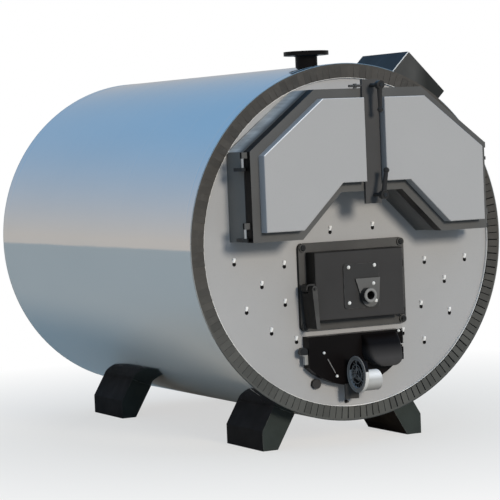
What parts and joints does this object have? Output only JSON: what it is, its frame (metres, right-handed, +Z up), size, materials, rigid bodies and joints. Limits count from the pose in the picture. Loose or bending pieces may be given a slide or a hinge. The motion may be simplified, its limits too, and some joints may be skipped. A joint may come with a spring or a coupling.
{
  "type": "industrial boiler",
  "caption": "Horizontal solid fuel shell boiler: lagged drum on feet, two-leaf smoke box door, fire door, ash door with blower, flanged water nozzle and side flue.",
  "frame": {"origin": "centre of the bounding box on the floor under the feet", "axes": "+Y from the door end to the rear, along the drum; +X to the right for someone who faces the doors; +Z up"},
  "size_m": [1.7, 2.766, 1.897],
  "materials": {
    "cladding": "polished sheet",
    "tab_sheet": "satin sheet",
    "plate_grey": "satin light grey",
    "frame_grey": "satin dark grey",
    "door_grey": "satin dark grey",
    "black_paint": "satin black",
    "bare_steel": "mill scale",
    "cast_iron": "as cast",
    "motor_silver": "cast, bright",
    "lining": "refractory board, matt"
  },
  "bodies": {
    "boiler": {"lagging_jacket": "cladding", "tab_rings": "tab_sheet", "tube_plate": "plate_grey", "fire_plate": "plate_grey", "back_plate": "plate_grey", "smoke_box": "frame_grey", "mouth_frame": "door_grey", "fire_hinge_brackets": "door_grey", "outlet_nozzle": "black_paint", "outlet_flange": "black_paint", "return_nozzle": "black_paint", "return_flange": "black_paint", "flue_outlet": "black_paint", "feet": "black_paint", "ash_hinge_brackets": "black_paint", "drain_plug": "black_paint", "leaf_hinge_eyes": "black_paint", "drum_shell": "bare_steel", "fire_tubes": "bare_steel", "firebox_decks": "bare_steel", "firebox_sides": "bare_steel", "firebox_back": "bare_steel", "fire_grate": "cast_iron", "grate_bearers": "cast_iron"},
    "left_leaf": {"left_leaf_frame": "frame_grey", "left_leaf_lining": "lining", "left_leaf_panel": "plate_grey", "lock_bar": "frame_grey", "lock_screws": "bare_steel"},
    "right_leaf": {"right_leaf_frame": "frame_grey", "right_leaf_lining": "lining", "right_leaf_panel": "plate_grey"},
    "upper_nut": {"upper_lever_nut": "bare_steel"},
    "lower_nut": {"lower_lever_nut": "bare_steel"},
    "fire_door": {"fire_door": "door_grey", "fire_door_lining": "lining", "sight_plate": "door_grey", "sight_shield": "door_grey", "sight_tube": "black_paint"},
    "fire_latch": {"fire_door_lever": "black_paint"},
    "ash_door": {"ash_door": "black_paint", "ash_latch": "bare_steel", "ash_block": "black_paint", "air_hood": "black_paint", "blower_inlet": "bare_steel", "blower_casing": "motor_silver"}
  },
  "joints": [
    {"name": "left_leaf_hinge", "type": "hinge", "parent": "boiler", "child": "left_leaf", "pos_m": [-0.65332, -1.232, 1.402], "axis": [0, 0, -1], "range_deg": [0, 110]},
    {"name": "right_leaf_hinge", "type": "hinge", "parent": "boiler", "child": "right_leaf", "pos_m": [0.65332, -1.232, 1.402], "axis": [0, 0, 1], "range_deg": [0, 110]},
    {"name": "upper_nut_turn", "type": "hinge", "parent": "left_leaf", "child": "upper_nut", "pos_m": [0.005, -1.364, 1.70676], "axis": [0, 1, 0], "range_deg": [0, 150]},
    {"name": "lower_nut_turn", "type": "hinge", "parent": "left_leaf", "child": "lower_nut", "pos_m": [0.005, -1.364, 1.1993], "axis": [0, -1, 0], "range_deg": [0, 150]},
    {"name": "fire_door_hinge", "type": "hinge", "parent": "boiler", "child": "fire_door", "pos_m": [0.247, -1.099, 0.8773], "axis": [0, 0, 1], "range_deg": [0, 110]},
    {"name": "fire_latch_turn", "type": "hinge", "parent": "fire_door", "child": "fire_latch", "pos_m": [-0.28, -1.1653, 0.7743], "axis": [0, 1, 0], "range_deg": [0, 80]},
    {"name": "ash_door_hinge", "type": "hinge", "parent": "boiler", "child": "ash_door", "pos_m": [0.245, -1.077, 0.5023], "axis": [0, 0, 1], "range_deg": [0, 100]}
  ]
}
